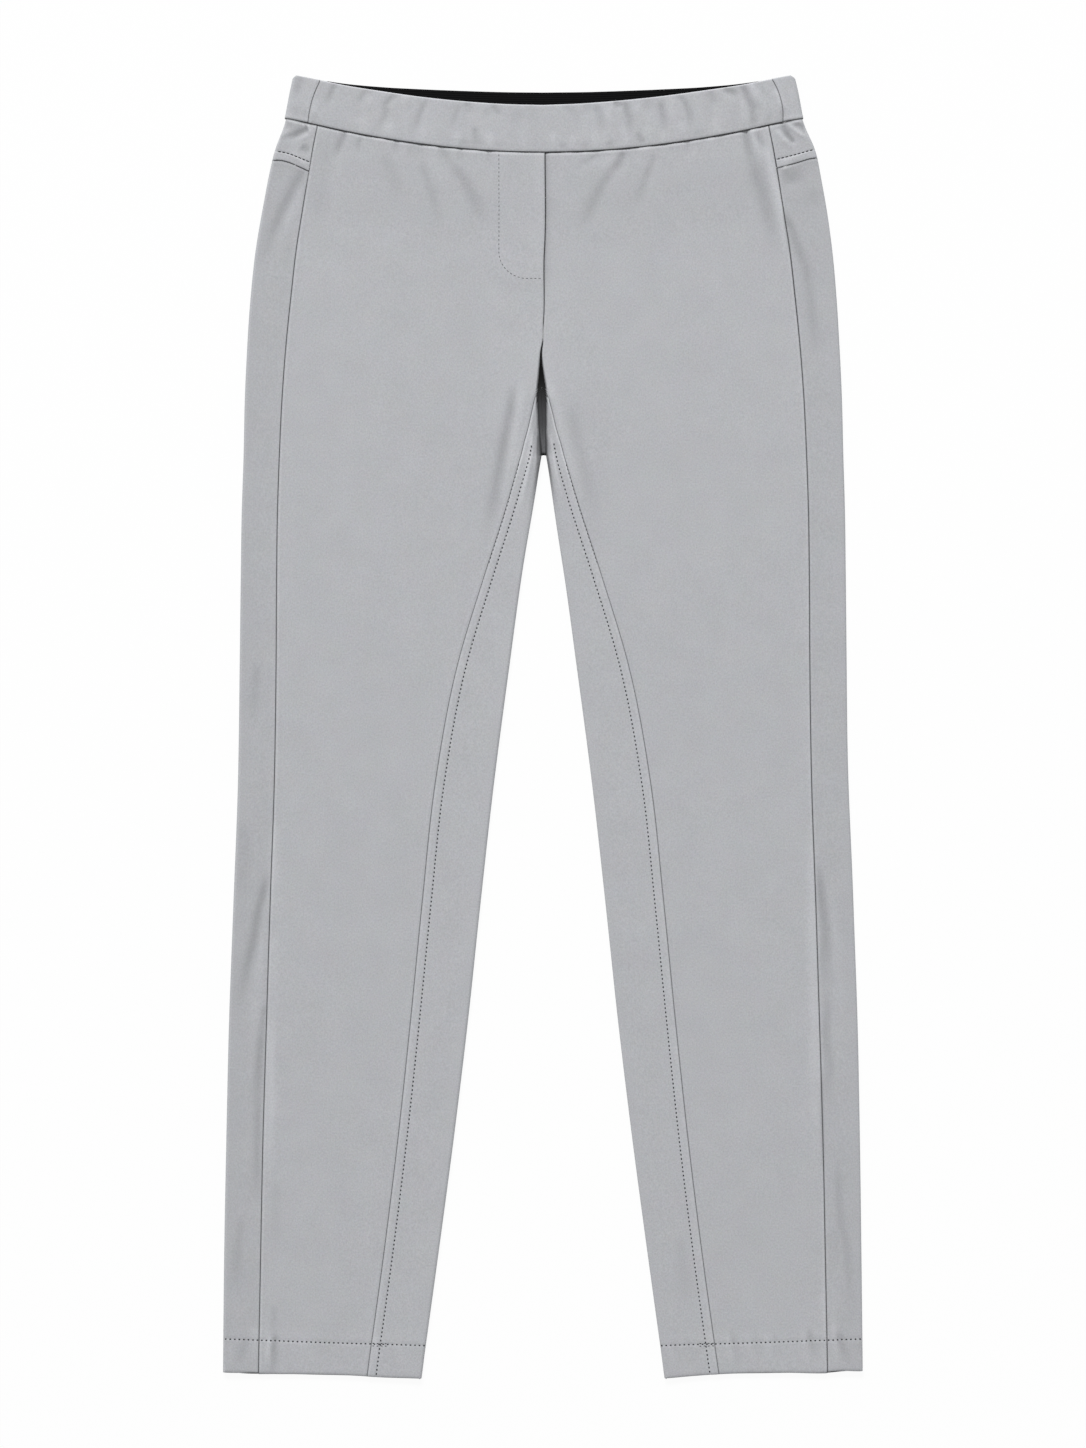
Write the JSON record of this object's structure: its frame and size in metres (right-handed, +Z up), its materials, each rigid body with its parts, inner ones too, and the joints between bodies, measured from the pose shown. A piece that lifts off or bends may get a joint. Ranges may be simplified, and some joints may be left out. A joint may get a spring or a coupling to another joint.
{
  "type": "slim pull-on trousers laid flat",
  "caption": "Slim ankle-length pull-on trousers of grey stretch cloth laid flat, with a dipped elastic waistband, mock fly, yokes and forward seams.",
  "frame": {"origin": "centre of the bounding box, on the surface that the trousers lie on", "axes": "+Z up from the surface, +Y from the hems to the waist, +X towards the wearer's left; the front of the garment is up"},
  "size_m": [0.4858, 0.989, 0.0065],
  "materials": {
    "cloth": "light cool grey, smooth dense double-knit stretch cloth, matt with a soft sheen",
    "elastic": "black ribbed elastic, matt",
    "thread": "grey sewing thread"
  },
  "bodies": {
    "root": {"front_panel_right": "cloth", "front_panel_left": "cloth", "back_panel_right": "cloth", "back_panel_left": "cloth", "yoke_right": "cloth", "yoke_left": "cloth", "waistband_front": "cloth", "waistband_back": "cloth", "inner_band": "elastic", "mock_fly": "cloth"}
  },
  "joints": []
}
